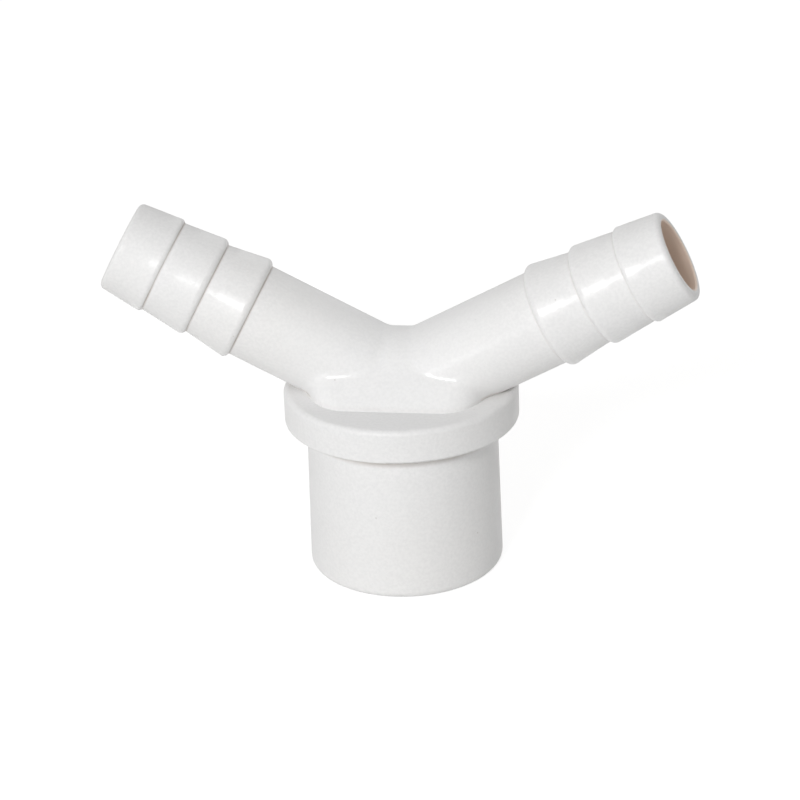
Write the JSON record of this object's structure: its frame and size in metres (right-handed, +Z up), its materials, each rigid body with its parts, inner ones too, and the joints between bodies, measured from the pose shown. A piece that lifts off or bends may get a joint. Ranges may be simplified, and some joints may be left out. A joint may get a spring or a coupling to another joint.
{
  "type": "tubing y connector",
  "caption": "White plastic Y connector for tubing: a flanged pipe socket below, and barbed hose tails that rise to the left and right.",
  "frame": {"origin": "middle of the socket's mouth, on the surface that it stands on", "axes": "+Z up along the socket, +X towards the right arm, +Y to the back"},
  "size_m": [0.0756, 0.03, 0.0478],
  "materials": {
    "white_plastic": "soft gloss, as moulded"
  },
  "bodies": {
    "root": {"y_connector": "white_plastic"}
  },
  "joints": []
}
